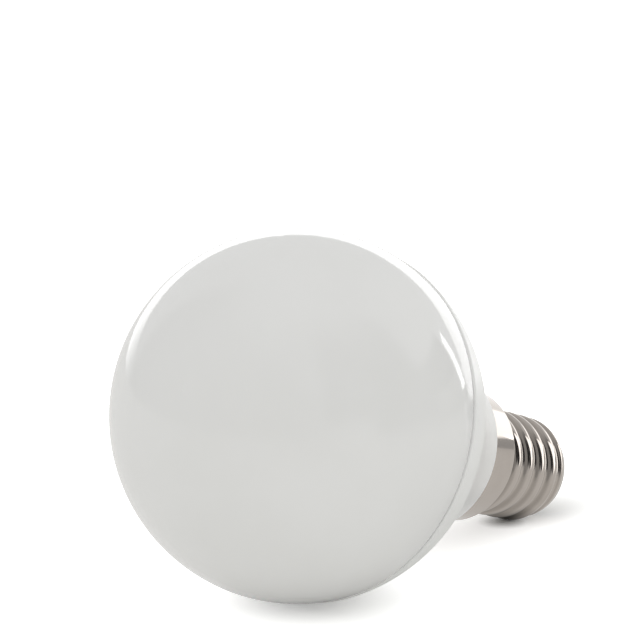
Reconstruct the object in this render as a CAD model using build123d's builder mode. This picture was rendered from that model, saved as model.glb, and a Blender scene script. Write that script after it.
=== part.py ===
from build123d import *
import os
from math import acos, asin, atan2, cos, degrees, hypot, radians, sin, sqrt

os.makedirs("parts", exist_ok=True)

# Sizes in millimetres. The bulb lies on a flat floor, on its round body and on the end of its screw cap.

# Globe
globe_dia = 45.0
globe_depth = 27.8  # front of the globe to its rear rim
spigot_length = 2.0  # how far the globe's spigot reaches past its rear rim
seam_width = 0.25  # open seam between the globe and the housing
globe_round = 0.4  # edge at the seam

# Housing
housing_length = 22.7  # front edge at the seam to the rear rim
housing_lip = 0.18  # how far the housing stands out past the globe's sphere
housing_wall = 1.4  # wall round the globe's spigot
neck_dia = 21.1  # at the rear rim
neck_curve_r = 80.0  # hollow curve of the neck
front_round = 0.25  # edge at the seam
rim_round = 0.5  # edge of the rear rim

# Screw cap
skirt_dia = 17.1
skirt_length = 7.5  # the part of the skirt that shows
skirt_seat = 1.0  # the part of the skirt that sits in the housing
skirt_round = 0.5
shell_wall = 0.4
crest_dia = 13.85
root_dia = 12.2
thread_pitch = 2.822
thread_turns = 5.5
fade_turns = 0.5  # turns over which the thread rises from its root at one end and sinks back at the other
last_turn = 0.875  # turns from the last crest that points down to the end of the thread
steps_per_turn = 8
roll_length = 0.9  # rolled end of the shell, behind the thread
mouth_dia = 10.4  # opening in the rolled end

# Insulator and contact
insulator_seat = 1.5  # thickness of the flange inside the shell
insulator_rise = 1.5  # cone outside the shell
insulator_end_dia = 6.4
contact_dia = 4.8
contact_rise = 1.3
contact_round = 0.5
stem_dia = 2.4

fit_gap = 0.05  # clearance between curved faces that fit into each other

# Places along the axis, from the globe's centre towards the cap
globe_r = globe_dia / 2
globe_rim = globe_depth - globe_r
spigot_end = globe_rim + spigot_length
housing_front = globe_rim + seam_width
housing_rim = housing_front + housing_length
skirt_front = housing_rim - skirt_seat
shoulder = housing_rim + skirt_length
thread_end = shoulder + thread_turns * thread_pitch
shell_end = thread_end + roll_length
flange_front = shell_end - shell_wall - insulator_seat
insulator_end = shell_end + insulator_rise
contact_end = insulator_end + contact_rise

# Radii that pieces share
rim_r = sqrt(globe_r**2 - globe_rim**2)
body_r = globe_r + housing_lip
socket_r = sqrt(body_r**2 - spigot_end**2) - housing_wall
spigot_r = socket_r - fit_gap
neck_r = neck_dia / 2
skirt_bore_r = skirt_dia / 2 - shell_wall
crest_r = crest_dia / 2
root_r = root_dia / 2
thread_offset = (crest_r - root_r) / 2
bore_r = root_r - shell_wall
mouth_r = mouth_dia / 2
roll_r = (roll_length**2 + (root_r - mouth_r) ** 2) / (2 * (root_r - mouth_r))

# The neck is a hollow curve that leaves the housing's sphere smoothly and ends at the rear rim
rim_reach = hypot(housing_rim, neck_r)
centres = body_r + neck_curve_r
rim_turn = acos((rim_reach**2 + centres**2 - neck_curve_r**2) / (2 * rim_reach * centres))
neck_angle = atan2(neck_r, housing_rim) + rim_turn
neck_start = (body_r * cos(neck_angle), body_r * sin(neck_angle))

# How the bulb lies: tilted until a rounding of the cap, given by its centre and radius, meets the floor
def tilt_onto(place, height, rounding):
    return asin((body_r - rounding) / hypot(place, height)) - atan2(height, place)


down_turn = thread_turns - last_turn
crest_tilt = tilt_onto(shoulder + down_turn * thread_pitch, crest_r, 0)
roll_tilt = tilt_onto(thread_end, root_r - roll_r, roll_r)
tilt = min(crest_tilt, roll_tilt)
axis_dir = Vector(0, cos(tilt), -sin(tilt))
down_dir = Vector(0, -sin(tilt), -cos(tilt))
cap_reach = (contact_end - contact_round) * cos(tilt) + (contact_dia / 2 - contact_round) * sin(tilt) + contact_round
centre = Vector(0, (globe_r - cap_reach) / 2, body_r)
bulb_axis = Axis(centre, axis_dir)
profile_plane = Plane(origin=centre, x_dir=axis_dir, z_dir=(1, 0, 0))


# A plane across the axis, with its own x direction towards the floor
def across(place):
    return Plane(origin=centre + axis_dir * place, x_dir=down_dir, z_dir=axis_dir)


# A point of a circle about the axis' origin in a profile
def on_circle(radius, place):
    return (place, sqrt(radius**2 - place**2))


# Globe, with the spigot that plugs into the housing
with BuildPart() as globe:
    with BuildSketch(profile_plane) as globe_profile:
        with BuildLine():
            CenterArc((0, 0), globe_r, degrees(atan2(rim_r, globe_rim)), 180 - degrees(atan2(rim_r, globe_rim)))
            Polyline(
                (globe_rim, rim_r),
                (globe_rim, spigot_r),
                (spigot_end, spigot_r),
                (spigot_end, 0),
                (-globe_r, 0),
            )
        make_face()
        fillet(globe_profile.vertices().sort_by_distance((globe_rim, rim_r))[0], radius=globe_round)
    revolve(axis=bulb_axis)

# Housing, with a stepped plug that fills the screw cap
with BuildPart() as housing:
    with BuildSketch(profile_plane) as housing_profile:
        with BuildLine():
            front = on_circle(body_r, housing_front)
            middle = on_circle(body_r, (housing_front + neck_start[0]) / 2)
            ThreePointArc(front, middle, neck_start)
            TangentArc(neck_start, (housing_rim, neck_r), tangent=(sin(neck_angle), -cos(neck_angle)))
            Polyline(
                (housing_rim, neck_r),
                (housing_rim, skirt_dia / 2 + fit_gap),
                (skirt_front, skirt_dia / 2 + fit_gap),
                (skirt_front, skirt_bore_r - fit_gap),
                (shoulder - shell_wall, skirt_bore_r - fit_gap),
                (shoulder - shell_wall, bore_r - fit_gap),
                (flange_front, bore_r - fit_gap),
                (flange_front, 0),
                (spigot_end, 0),
                (spigot_end, socket_r),
                (housing_front, socket_r),
                front,
            )
        make_face()
        fillet(housing_profile.vertices().sort_by_distance(front)[0], radius=front_round)
        fillet(housing_profile.vertices().sort_by_distance((housing_rim, neck_r))[0], radius=rim_round)
    revolve(axis=bulb_axis)

# Cap shell: the thread is a loft of circles, each set off the axis by half the thread's depth and turned a step on
with BuildPart() as cap_shell:
    thread_steps = round(thread_turns * steps_per_turn)
    for step in range(thread_steps + 1):
        turn = thread_turns * step / thread_steps
        offset = thread_offset * min(1, turn / fade_turns, (thread_turns - turn) / fade_turns)
        angle = radians(360 * (turn - down_turn))
        with BuildSketch(across(shoulder + turn * thread_pitch)):
            with Locations((offset * cos(angle), offset * sin(angle))):
                Circle(root_r + offset)
    loft(ruled=True)
    with BuildSketch(profile_plane):
        with BuildLine():
            TangentArc((thread_end, root_r), (shell_end, mouth_r), tangent=(1, 0))
            Polyline((shell_end, mouth_r), (shell_end, 0), (thread_end, 0), (thread_end, root_r))
        make_face()
    revolve(axis=bulb_axis)
    with BuildSketch(profile_plane) as skirt_profile:
        with BuildLine():
            Polyline(
                (skirt_front, 0),
                (skirt_front, skirt_dia / 2),
                (shoulder, skirt_dia / 2),
                (shoulder, 0),
                close=True,
            )
        make_face()
        fillet(skirt_profile.vertices().sort_by_distance((shoulder, skirt_dia / 2))[0], radius=skirt_round)
    revolve(axis=bulb_axis)
    with BuildSketch(profile_plane):
        with BuildLine():
            Polyline(
                (skirt_front, 0),
                (skirt_front, skirt_bore_r),
                (shoulder - shell_wall, skirt_bore_r),
                (shoulder - shell_wall, bore_r),
                (shell_end - shell_wall, bore_r),
                (shell_end - shell_wall, mouth_r),
                (shell_end, mouth_r),
                (shell_end, 0),
                close=True,
            )
        make_face()
    revolve(axis=bulb_axis, mode=Mode.SUBTRACT)

# Insulator, held behind the rolled end of the shell
with BuildPart() as insulator:
    with BuildSketch(profile_plane):
        with BuildLine():
            Polyline(
                (flange_front, stem_dia / 2 + fit_gap),
                (flange_front, bore_r - fit_gap),
                (shell_end - shell_wall, bore_r - fit_gap),
                (shell_end - shell_wall, mouth_r - fit_gap),
                (shell_end, mouth_r - fit_gap),
                (insulator_end, insulator_end_dia / 2),
                (insulator_end, stem_dia / 2 + fit_gap),
                close=True,
            )
        make_face()
    revolve(axis=bulb_axis)

# Centre contact, a rivet with a flat round head
with BuildPart() as centre_contact:
    with BuildSketch(profile_plane) as contact_profile:
        with BuildLine():
            Polyline(
                (flange_front, 0),
                (flange_front, stem_dia / 2),
                (insulator_end, stem_dia / 2),
                (insulator_end, contact_dia / 2),
                (contact_end, contact_dia / 2),
                (contact_end, 0),
                close=True,
            )
        make_face()
        fillet(contact_profile.vertices().sort_by_distance((contact_end, contact_dia / 2))[0], radius=contact_round)
    revolve(axis=bulb_axis)

globe.part.label = "globe"
housing.part.label = "housing"
cap_shell.part.label = "cap_shell"
insulator.part.label = "insulator"
centre_contact.part.label = "centre_contact"

export_step(globe.part, "parts/globe.step")
export_step(housing.part, "parts/housing.step")
export_step(cap_shell.part, "parts/cap_shell.step")
export_step(insulator.part, "parts/insulator.step")
export_step(centre_contact.part, "parts/centre_contact.step")
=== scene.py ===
import math
import bpy
from mathutils import Matrix, Vector


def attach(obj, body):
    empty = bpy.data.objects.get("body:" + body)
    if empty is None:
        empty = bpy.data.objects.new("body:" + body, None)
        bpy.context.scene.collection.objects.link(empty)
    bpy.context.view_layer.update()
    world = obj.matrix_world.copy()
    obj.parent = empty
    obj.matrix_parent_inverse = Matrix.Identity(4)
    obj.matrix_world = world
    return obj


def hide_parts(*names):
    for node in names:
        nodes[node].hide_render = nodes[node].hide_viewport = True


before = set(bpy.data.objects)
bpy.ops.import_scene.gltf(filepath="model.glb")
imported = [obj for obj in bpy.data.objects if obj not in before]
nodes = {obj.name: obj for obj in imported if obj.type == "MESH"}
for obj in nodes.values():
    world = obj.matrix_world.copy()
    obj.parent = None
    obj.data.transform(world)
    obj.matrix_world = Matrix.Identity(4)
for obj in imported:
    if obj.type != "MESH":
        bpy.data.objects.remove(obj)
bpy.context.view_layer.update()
print("frame loaded:", ", ".join(sorted(nodes)))

# how the bulb lies: the globe's centre in metres, and how far the cap end dips in degrees
lie = {"centre": (0, -0.0150316, 0.02268), "tilt": 19.20972}

tilt = math.radians(lie["tilt"])
axisDir = Vector((0, math.cos(tilt), -math.sin(tilt)))
downDir = Vector((0, -math.sin(tilt), -math.cos(tilt)))
lieMatrix = Matrix((downDir, axisDir.cross(downDir), axisDir)).transposed().to_4x4()
lieMatrix.translation = lie["centre"]


class Sock:  # a shader socket that can stand in sums
    def __init__(self, tree, socket=None):
        self.tree = tree
        self.socket = socket

    def node(self, kind, settings={}, inputs={}, output=0):  # any node: settings first, then its sockets
        made = self.tree.nodes.new(kind)
        for key, value in settings.items():
            setattr(made, key, value)
        for key, value in inputs.items():
            if isinstance(value, Sock):
                self.tree.links.new(value.socket, made.inputs[key])
            else:
                made.inputs[key].default_value = value
        return Sock(self.tree, made.outputs[output])

    def out(self, name):  # another output of the same node
        return Sock(self.tree, self.socket.node.outputs[name])

    def math(self, operation, *values):
        return self.node("ShaderNodeMath", {"operation": operation}, dict(enumerate(values)))

    def smooth(self, low, high):  # 0 below low, 1 above high
        return self.node(
            "ShaderNodeMapRange", {"interpolation_type": "SMOOTHSTEP"}, {0: self, 1: low, 2: high})

    def __add__(self, other):
        return self.math("ADD", self, other)

    def __sub__(self, other):
        return self.math("SUBTRACT", self, other)

    def __rsub__(self, other):
        return self.math("SUBTRACT", other, self)

    def __mul__(self, other):
        return self.math("MULTIPLY", self, other)

    __radd__ = __add__
    __rmul__ = __mul__


def newTree(name):  # a material with no nodes yet
    material = bpy.data.materials.new(name)
    material.use_nodes = True
    material.node_tree.nodes.clear()
    return material, Sock(material.node_tree)


def finishTree(start, shader, kind="ShaderNodeOutputMaterial"):
    output = start.tree.nodes.new(kind)
    start.tree.links.new(shader.socket, output.inputs[0])


def assign(thing, material):
    thing.data.materials.clear()
    thing.data.materials.append(material)


def mixColor(factor, first, second):  # each colour is a socket or three numbers
    first, second = [color if isinstance(color, Sock) else (*color, 1) for color in (first, second)]
    return factor.node("ShaderNodeMix", {"data_type": "RGBA"}, {0: factor, 6: first, 7: second}, 2)


def vectorMath(operation, first, *others, output="Value"):
    inputs = dict(enumerate((first, *others)))
    return first.node("ShaderNodeVectorMath", {"operation": operation}, inputs, output)


def noise(coords, scale, detail):
    return coords.node("ShaderNodeTexNoise", {}, {"Vector": coords, "Scale": scale, "Detail": detail})


def patches(coords, pattern):  # noise with its range drawn apart into soft patches
    return noise(coords, pattern["scale"], pattern["detail"]).smooth(*pattern["range"])


def fineLines(distance, pattern):  # lines left by a tool, at uneven distances
    return distance.node("ShaderNodeTexNoise", {"noise_dimensions": "1D"}, {
        "W": distance * pattern["scale"], "Scale": 1.0, "Detail": pattern["detail"]})


def bump(height, pattern):
    return height.node("ShaderNodeBump", {}, {
        "Height": height, "Strength": pattern["strength"], "Distance": pattern["depth"]})


def grainBump(coords, pattern):
    return bump(noise(coords, pattern["scale"], pattern["detail"]), pattern)


def alongAxis(coords):  # how far along the bulb's axis from the globe's centre
    fromCentre = vectorMath("SUBTRACT", coords, lie["centre"], output="Vector")
    return vectorMath("DOT_PRODUCT", fromCentre, axisDir)


def outFromAxis(coords):
    fromCentre = vectorMath("SUBTRACT", coords, lie["centre"], output="Vector")
    onAxis = coords.node("ShaderNodeVectorMath", {"operation": "SCALE"}, {
        0: tuple(axisDir), "Scale": vectorMath("DOT_PRODUCT", fromCentre, axisDir)})
    return vectorMath("DISTANCE", fromCentre, onAxis)


# screw cap: one drawn sheet, skirt and rolled thread, with its wall; places are along the bulb's axis
screwCap = {
    "segments": 160, "skirtFront": 0.02725, "skirtR": 0.00855, "skirtRound": 0.0005, "shoulder": 0.03575,
    "rootR": 0.0061, "crestR": 0.006925, "crestShare": 0.62, "pitch": 0.002822, "turns": 5.5,
    "fadeTurns": 0.5, "downTurn": 4.625, "ringsPerTurn": 40, "rollR": 0.0009, "wall": 0.0004,
    "roundSteps": 7, "sharpAngle": 40, "slack": 1e-6,
}


def nextRing(ring, radius, place):  # carry the selected ring on to a new place and radius
    bpy.ops.mesh.extrude_edges_move(TRANSFORM_OT_translate={"value": (0, 0, place - ring["place"])})
    share = radius / ring["radius"]
    bpy.ops.transform.resize(value=(share, share, 1), center_override=(0, 0, place))
    ring.update(radius=radius, place=place)


def quarterTurn(steps):  # the angles of a rounding
    return [math.pi / 2 * step / steps for step in range(1, steps + 1)]


def threadRadius(turn, angle):  # broad round crests and narrow round roots, meeting at the flank
    s = screwCap
    depth, half = s["crestR"] - s["rootR"], s["pitch"] / 2
    lean = 2 * math.atan(depth / half)
    both = half / math.sin(lean)  # crest radius and root radius together
    crest, root = both * s["crestShare"], both * (1 - s["crestShare"])
    away = abs((turn - s["downTurn"] - angle / (2 * math.pi) + 0.5) % 1 - 0.5) * s["pitch"]  # from the crest
    if away < crest * math.sin(lean):
        rise = depth - crest + math.sqrt(crest**2 - away**2)
    else:
        rise = root - math.sqrt(root**2 - (half - away) ** 2)
    return s["rootR"] + rise * min(1, turn / s["fadeTurns"], (s["turns"] - turn) / s["fadeTurns"])


def makeScrewCap():
    s = screwCap
    bpy.ops.object.select_all(action="DESELECT")
    bpy.ops.mesh.primitive_circle_add(vertices=s["segments"], radius=s["skirtR"], location=(0, 0, 0))
    cap = bpy.context.object
    cap.name = "screwCap"
    bpy.ops.object.mode_set(mode="EDIT")
    bpy.ops.mesh.select_all(action="SELECT")
    bpy.ops.transform.translate(value=(0, 0, s["skirtFront"]))
    ring = {"radius": s["skirtR"], "place": s["skirtFront"]}
    nextRing(ring, s["skirtR"], s["shoulder"] - s["skirtRound"])
    for turn in quarterTurn(s["roundSteps"]):  # rounded end of the skirt
        radius = s["skirtR"] - s["skirtRound"] * (1 - math.cos(turn))
        nextRing(ring, radius, s["shoulder"] - s["skirtRound"] * (1 - math.sin(turn)))
    nextRing(ring, s["rootR"], s["shoulder"])
    rings = round(s["turns"] * s["ringsPerTurn"])
    for step in range(1, rings + 1):
        nextRing(ring, s["rootR"], s["shoulder"] + s["turns"] * s["pitch"] * step / rings)
    threadEnd = ring["place"]
    for turn in quarterTurn(s["roundSteps"]):  # rolled end
        radius = s["rootR"] - s["rollR"] * (1 - math.cos(turn))
        nextRing(ring, radius, threadEnd + s["rollR"] * math.sin(turn))
    mouthR = ring["radius"]
    inner = threadEnd + s["rollR"] - s["wall"]
    boreR = s["rootR"] - s["wall"]
    nextRing(ring, mouthR, inner)  # back inside, and closed at the skirt's front
    nextRing(ring, boreR, inner)
    nextRing(ring, boreR, s["shoulder"] - s["wall"])
    nextRing(ring, s["skirtR"] - s["wall"], s["shoulder"] - s["wall"])
    nextRing(ring, s["skirtR"] - s["wall"], s["skirtFront"])
    nextRing(ring, s["skirtR"], s["skirtFront"])
    bpy.ops.mesh.select_all(action="SELECT")
    bpy.ops.mesh.remove_doubles(threshold=s["slack"])
    bpy.ops.mesh.normals_make_consistent(inside=False)
    bpy.ops.object.mode_set(mode="OBJECT")
    for vertex in cap.data.vertices:  # roll the thread into the plain tube
        turn = (vertex.co.z - s["shoulder"]) / s["pitch"]
        out = math.hypot(vertex.co.x, vertex.co.y)
        if 0 < turn < s["turns"] and abs(out - s["rootR"]) < s["slack"]:
            share = threadRadius(turn, math.atan2(vertex.co.y, vertex.co.x)) / out
            vertex.co.x *= share
            vertex.co.y *= share
    cap.matrix_world = lieMatrix
    bpy.ops.object.transform_apply(location=True, rotation=True, scale=True)
    bpy.ops.object.shade_smooth_by_angle(angle=math.radians(s["sharpAngle"]))
    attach(cap, "root")
    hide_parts("cap_shell")
    return cap


cap = makeScrewCap()
print("screw cap:", len(cap.data.polygons), "faces")

# opal plastic of the globe, with painted light on the faces inside the seam: a paler colour there lifts the
# shade of the gap
opal = {
    "color": (0.72, 0.72, 0.707), "cloud": (0.706, 0.706, 0.691), "gloss": 0.06, "smudge": 0.05,
    "seam": (0.88, 0.88, 0.87), "seamFrom": 0.00525, "seamEdge": 0.00005,
    "clouds": {"scale": 70, "detail": 3, "range": (0.35, 0.7)},
    "smudges": {"scale": 140, "detail": 4, "range": (0.5, 0.75)},
    "grain": {"scale": 2600, "detail": 2, "strength": 0.04, "depth": 0.00004},
    "milk": 0.5, "milkDepth": 0.006,  # how much light goes in, and how far in metres
}


def makeOpal():
    material, start = newTree("opal")
    coords = start.node("ShaderNodeTexCoord", output="Object")
    color = mixColor(patches(coords, opal["clouds"]), opal["color"], opal["cloud"])
    # painted light: the faces inside the seam get a paler colour, which lifts the shade of the gap
    seamLightMask = alongAxis(coords).smooth(opal["seamFrom"], opal["seamFrom"] + opal["seamEdge"])
    shader = start.node("ShaderNodeBsdfPrincipled", {}, {
        "Base Color": mixColor(seamLightMask, color, opal["seam"]),
        "Roughness": patches(coords, opal["smudges"]) * opal["smudge"] + opal["gloss"],
        "Normal": grainBump(coords, opal["grain"]),
        "Subsurface Weight": opal["milk"], "Subsurface Scale": opal["milkDepth"],
        "Subsurface Radius": (1, 1, 1)})
    finishTree(start, shader)
    return material


# white moulded plastic of the housing, with painted light on the faces inside the seam: a paler colour there
# lifts the shade of the gap
whitePlastic = {
    "color": (0.762, 0.762, 0.747), "flow": (0.737, 0.742, 0.717), "gloss": 0.3, "smudge": 0.1, "mirror": 0.3,
    "seam": (0.88, 0.88, 0.87), "seamTo": 0.0056, "seamEdge": 0.00005,
    "flows": {"scale": 90, "detail": 3, "range": (0.4, 0.75)},
    "smudges": {"scale": 180, "detail": 4, "range": (0.5, 0.75)},
    "grain": {"scale": 1800, "detail": 3, "strength": 0.06, "depth": 0.00005},
    "milk": 0.1, "milkDepth": 0.003,
}


def makeWhitePlastic():
    material, start = newTree("whitePlastic")
    coords = start.node("ShaderNodeTexCoord", output="Object")
    white = whitePlastic
    color = mixColor(patches(coords, white["flows"]), white["color"], white["flow"])
    # painted light: the faces inside the seam get a paler colour, which lifts the shade of the gap
    seamLightMask = 1 - alongAxis(coords).smooth(white["seamTo"] - white["seamEdge"], white["seamTo"])
    shader = start.node("ShaderNodeBsdfPrincipled", {}, {
        "Base Color": mixColor(seamLightMask, color, white["seam"]),
        "Roughness": patches(coords, white["smudges"]) * white["smudge"] + white["gloss"],
        "Normal": grainBump(coords, white["grain"]), "Specular IOR Level": white["mirror"],
        "Subsurface Weight": white["milk"], "Subsurface Scale": white["milkDepth"],
        "Subsurface Radius": (1, 1, 1)})
    finishTree(start, shader)
    return material


# nickel plate of the screw cap: draw lines round the axis, and painted shade on the thread flanks that face
# the skirt, a darker colour standing in for the dark reflection they catch; those flanks are also rougher
nickel = {
    "color": (0.48, 0.44, 0.405), "stain": (0.44, 0.4, 0.36), "stainShare": 0.6, "stainRough": 0.04,
    "flankShade": (0.22, 0.195, 0.17), "flankShadeShare": 0.5, "flankRough": 0.1, "flankLean": (0.4, 0.85),
    "threadFrom": (-0.0002, 0.0006),  # before and behind the shoulder
    "gloss": 0.09, "lineRough": 0.08,
    "stains": {"scale": 260, "detail": 4, "range": (0.45, 0.75)},
    "lines": {"scale": 9000, "detail": 3, "strength": 0.06, "depth": 0.000004},
}


def makeNickel():
    material, start = newTree("nickel")
    coords = start.node("ShaderNodeTexCoord", output="Object")
    along = alongAxis(coords)
    lines = fineLines(along, nickel["lines"])
    stain = patches(coords, nickel["stains"])
    onThread = along.smooth(*[screwCap["shoulder"] + shift for shift in nickel["threadFrom"]])
    toSkirt = vectorMath("DOT_PRODUCT", coords.out("Normal"), -axisDir)
    # painted shade: the thread flanks facing the skirt are darkened, standing in for the dark reflection they
    # catch
    flankShade = onThread * toSkirt.smooth(*nickel["flankLean"])
    color = mixColor(stain * nickel["stainShare"], nickel["color"], nickel["stain"])
    color = mixColor(flankShade * nickel["flankShadeShare"], color, nickel["flankShade"])
    roughness = nickel["gloss"] + flankShade * nickel["flankRough"]
    roughness = roughness + (lines - 0.5) * nickel["lineRough"] + stain * nickel["stainRough"]
    shader = start.node("ShaderNodeBsdfPrincipled", {}, {
        "Base Color": color, "Metallic": 1.0, "Roughness": roughness, "Normal": bump(lines, nickel["lines"])})
    finishTree(start, shader)
    return material


# black glassy insulator
blackInsulator = {
    "color": (0.018, 0.018, 0.02), "streak": (0.05, 0.048, 0.052), "gloss": 0.18, "streakRough": 0.25,
    "streaks": {"scale": 600, "detail": 5, "range": (0.5, 0.8)},
    "pits": {"scale": 3000, "detail": 2, "strength": 0.15, "depth": 0.00003},
}


def makeBlackInsulator():
    material, start = newTree("blackInsulator")
    coords = start.node("ShaderNodeTexCoord", output="Object")
    streak = patches(coords, blackInsulator["streaks"])
    shader = start.node("ShaderNodeBsdfPrincipled", {}, {
        "Base Color": mixColor(streak, blackInsulator["color"], blackInsulator["streak"]),
        "Roughness": streak * blackInsulator["streakRough"] + blackInsulator["gloss"],
        "Normal": grainBump(coords, blackInsulator["pits"])})
    finishTree(start, shader)
    return material


# tinned centre contact with turned rings
contact = {
    "color": (0.56, 0.53, 0.49), "tarnish": (0.34, 0.30, 0.25), "tarnishShare": 0.7, "tarnishRough": 0.2,
    "gloss": 0.24, "ringRough": 0.1,
    "tarnishes": {"scale": 900, "detail": 4, "range": (0.4, 0.7)},
    "rings": {"scale": 9000, "detail": 3, "strength": 0.3, "depth": 0.000008},
}


def makeContact():
    material, start = newTree("contact")
    coords = start.node("ShaderNodeTexCoord", output="Object")
    rings = fineLines(outFromAxis(coords), contact["rings"])
    tarnish = patches(coords, contact["tarnishes"])
    shader = start.node("ShaderNodeBsdfPrincipled", {}, {
        "Base Color": mixColor(tarnish * contact["tarnishShare"], contact["color"], contact["tarnish"]),
        "Roughness": tarnish * contact["tarnishRough"] + rings * contact["ringRough"] + contact["gloss"],
        "Metallic": 1.0, "Normal": bump(rings, contact["rings"])})
    finishTree(start, shader)
    return material


assign(nodes["globe"], makeOpal())
assign(nodes["housing"], makeWhitePlastic())
assign(cap, makeNickel())
assign(nodes["insulator"], makeBlackInsulator())
assign(nodes["centre_contact"], makeContact())
print("materials done")

# studio: even white light, a pale floor and cards that only show as reflections
studio = {
    "worldLight": 0.944, "worldShine": 0.8, "keySide": (0.98, -0.17, 0.1), "keyShare": 0.1,
    "floorSize": 12, "floorColor": (0.88, 0.88, 0.865), "floorLift": 0.75, "floorGlow": 0.08,
    "floorShine": 0.85, "shineColor": (1, 0.99, 0.97),  # the floor as it shows in the bulb
    "farFrom": (0.05, 0.5), "farSide": (0.77, 0.64, 0), "farSpread": (0.6, 0.85), "farLoss": 0.6,
    "bounce": {"place": (0.025, -0.002), "reach": (0.03, 0.015), "left": 0.1},  # sends less light up
    "shadows": {  # dark spots on the floor: the middle, the reach along x and y, and the light left there
        "globe": {"place": (0.004, -0.0155), "reach": (0.017, 0.017), "lift": 0.27, "shine": 0.3},
        "capEnd": {"place": (0.0005, 0.0285), "reach": (0.006, 0.007), "lift": 0.0, "shine": 0.06},
        "underCap": {"place": (0.001, 0.027), "reach": (0.015, 0.03), "lift": 0.45, "shine": 0.9},
        "capSide": {"place": (0.001, 0.037), "reach": (0.013, 0.018), "lift": 0.06, "shine": 1.0},
    },
}
# cards round the bulb: the top edge as azimuth from +Y towards +X and elevation, and how much of the card
# fades at its left, right, low and high edge
farCards = {
    "backdropCard": {
        "top": (
            (-90, 5), (-76, 9), (-64, 12), (-55, 15), (-47, 19), (-41, 21), (-26, 20), (-19, 19.5),
            (3, 12), (8, 6), (10, -1)),
        "low": -3, "light": 2.2, "soft": (0.25, 0.01, 0.01, 0.03), "away": 3},
    "stripCard": {
        "top": ((12.5, 19), (18, 17)),
        "low": -1, "light": 4.8, "soft": (0.12, 0.12, 0.04, 0.06), "away": 3},
    "topCard": {
        "top": ((-30, 64), (60, 64)),
        "low": 20, "light": 0.75, "soft": (0.15, 0.15, 0.1, 0.2), "away": 3},
    "rightDrape": {
        "top": ((19, 75), (96, 75)),
        "low": -3, "light": 0.02, "soft": (0.01, 0.1, 0.01, 0.45), "away": 3.1},
    "frontDrape": {
        "top": ((88, 75), (130, 75)),
        "low": 1, "light": 0.02, "soft": (0.2, 0.2, 0.2, 0.45), "away": 3.2},
    "leftDrape": {
        "top": ((122, 75), (276, 75)),
        "low": -3, "light": 0.5, "soft": (0.1, 0.06, 0.01, 0.45), "away": 3.3},
    "gapCard": {
        "top": ((17, 8), (48, 8)),
        "low": -3, "light": 0.4, "soft": (0.05, 0.1, 0.05, 0.2), "away": 2.95},
}
nearCards = {  # upright sheets: two places on the floor, and the lowest and highest edge at each
    "sideCard": {
        "plan": ((0.035, 0.0355), (0.0807, 0.187)), "rise": ((0.003, 0.055), (0.026, 0.07)),
        "light": 2.6, "soft": (0.02, 0.05, 0.05, 0.08)},
    "skirtCard": {
        "plan": ((-0.002, 0.075), (0.037, 0.075)), "rise": ((0.0165, 0.036), (0.0165, 0.036)),
        "light": 2.2, "soft": (0.1, 0.05, 0.2, 0.05)},
    "skirtBar": {
        "plan": ((0.014, 0.074), (0.047, 0.074)), "rise": ((0.0085, 0.0175), (0.0085, 0.0175)),
        "light": 0.5, "soft": (0.2, 0.1, 0.15, 0.2)},
    "skirtFlag": {
        "plan": ((-0.03, 0.0745), (0.0, 0.0745)), "rise": ((0.012, 0.036), (0.012, 0.036)),
        "light": 1.3, "soft": (0.05, 0.1, 0.05, 0.05)},
}
cardGrid = {"across": 64, "up": 8}


def makeWorld():
    world = bpy.data.worlds.new("studio")
    bpy.context.scene.world = world
    world.use_nodes = True
    world.node_tree.nodes.clear()
    start = Sock(world.node_tree)
    camera = start.node("ShaderNodeLightPath", output="Is Camera Ray")
    mirrored = start.math("MAXIMUM", camera.out("Is Glossy Ray"), camera.out("Is Transmission Ray"))
    others = 1 - start.math("MAXIMUM", camera, mirrored)
    side = vectorMath("DOT_PRODUCT", start.node("ShaderNodeTexCoord", output="Generated"), studio["keySide"])
    even = others * (side * studio["keyShare"] + 1) * studio["worldLight"]  # a little more from the key side
    light = start.node("ShaderNodeBackground", {}, {"Color": camera + mirrored * studio["worldShine"] + even})
    finishTree(start, light, "ShaderNodeOutputWorld")


def awayFrom(coords, spot):  # 0 in the middle of a spot on the floor, 1 outside it
    spread = coords.node("ShaderNodeMapping", {"vector_type": "TEXTURE"}, {
        "Vector": coords, "Location": (*spot["place"], 0), "Scale": (*spot["reach"], 1)})
    return vectorMath("LENGTH", spread).smooth(0, 1)


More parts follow.
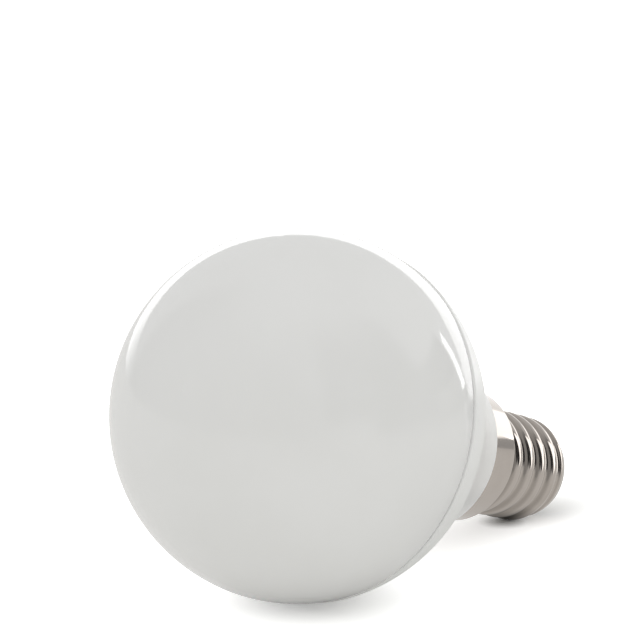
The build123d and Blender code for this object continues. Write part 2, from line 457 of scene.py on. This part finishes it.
def makeFloor():
    black = (0, 0, 0)
    bpy.ops.object.select_all(action="DESELECT")
    bpy.ops.mesh.primitive_plane_add(size=studio["floorSize"])
    floor = bpy.context.object
    floor.name = "floor"
    material, start = newTree("floorPaper")
    camera = start.node("ShaderNodeLightPath", output="Is Camera Ray")
    glossy = camera.out("Is Glossy Ray")
    coords = start.node("ShaderNodeTexCoord", output="Object")
    bounce = studio["bounce"]
    kept = (1 - camera) * (1 - awayFrom(coords, bounce)) * (1 - bounce["left"])  # light not sent up
    paper = start.node("ShaderNodeBsdfDiffuse", {}, {"Color": mixColor(kept, studio["floorColor"], black)})
    lift = camera * studio["floorLift"]
    shine = glossy * studio["floorShine"]
    for spot in studio["shadows"].values():
        away = awayFrom(coords, spot)
        left = away * (studio["floorLift"] - spot["lift"]) + spot["lift"]
        lift = start.math("MINIMUM", lift, camera * left)
        shine = shine * (away * (1 - spot["shine"]) + spot["shine"])
    glow = start.node("ShaderNodeEmission", {}, {
        "Color": lift + (1 - camera) * (1 - kept) * studio["floorGlow"]})
    lit = start.node("ShaderNodeAddShader", {}, {0: paper, 1: glow})
    toRight = vectorMath("DOT_PRODUCT", vectorMath("NORMALIZE", coords, output="Vector"), studio["farSide"])
    far = vectorMath("LENGTH", coords).smooth(*studio["farFrom"])
    far = far * toRight.smooth(*studio["farSpread"]) * studio["farLoss"]  # duller far off to the right
    mirrored = start.node("ShaderNodeEmission", {}, {
        "Color": mixColor(shine * (1 - far), black, studio["shineColor"])})
    finishTree(start, start.node("ShaderNodeMixShader", {}, {0: glossy, 1: lit, 2: mirrored}))
    assign(floor, material)


def makeCard(name, card, placeOf):  # a glowing sheet that only reflections see
    bpy.ops.object.select_all(action="DESELECT")
    bpy.ops.mesh.primitive_grid_add(
        x_subdivisions=cardGrid["across"], y_subdivisions=cardGrid["up"], size=2, location=(0, 0, 0))
    sheet = bpy.context.object
    sheet.name = name
    for vertex in sheet.data.vertices:
        vertex.co = placeOf(card, (vertex.co.x + 1) / 2, (vertex.co.y + 1) / 2)
    material, start = newTree(name)
    across = start.node("ShaderNodeSeparateXYZ", {}, {0: start.node("ShaderNodeTexCoord", output="UV")})
    up = across.out("Y")
    left, right, low, high = card["soft"]
    mask = across.smooth(0, left) * (1 - across.smooth(1 - right, 1))
    mask = mask * up.smooth(0, low) * (1 - up.smooth(1 - high, 1))
    glow = start.node("ShaderNodeEmission", {}, {"Strength": card["light"]})
    clear = start.node("ShaderNodeBsdfTransparent")
    finishTree(start, start.node("ShaderNodeMixShader", {}, {0: mask, 1: clear, 2: glow}))
    assign(sheet, material)
    sheet.visible_camera = False
    sheet.visible_diffuse = False
    sheet.visible_shadow = False


def farPlace(card, across, up):  # bent round the bulb
    top = card["top"]
    az = top[0][0] + (top[-1][0] - top[0][0]) * across
    for (az0, el0), (az1, el1) in zip(top, top[1:]):
        if az <= az1:
            break
    high = el0 + (el1 - el0) * (az - az0) / (az1 - az0)
    el = math.radians(card["low"] + (high - card["low"]) * up)
    az = math.radians(az)
    return Vector((math.sin(az) * math.cos(el), math.cos(az) * math.cos(el), math.sin(el))) * card["away"]


def nearPlace(card, across, up):  # straight between its two places
    first, last = [Vector((*place, 0)) for place in card["plan"]]
    low, high = [near + (far - near) * across for near, far in zip(*card["rise"])]
    return first.lerp(last, across) + Vector((0, 0, low + (high - low) * up))


makeWorld()
makeFloor()
for name, card in farCards.items():
    makeCard(name, card, farPlace)
for name, card in nearCards.items():
    makeCard(name, card, nearPlace)
print("studio done")

# camera: metres and degrees, lens and sensor in millimetres
camera = {
    "place": (0.248873, -0.332101, 0.123148), "yaw": 37.73546, "down": 12.41143, "lens": 194.8798,
    "sensor": 36, "near": 0.01,
}

bpy.ops.object.camera_add(
    location=camera["place"], rotation=(math.radians(90 - camera["down"]), 0, math.radians(camera["yaw"])))
view = bpy.context.object
view.data.sensor_width = camera["sensor"]
view.data.lens = camera["lens"]
view.data.clip_start = camera["near"]
bpy.context.scene.camera = view
bpy.context.scene.view_settings.view_transform = "Standard"
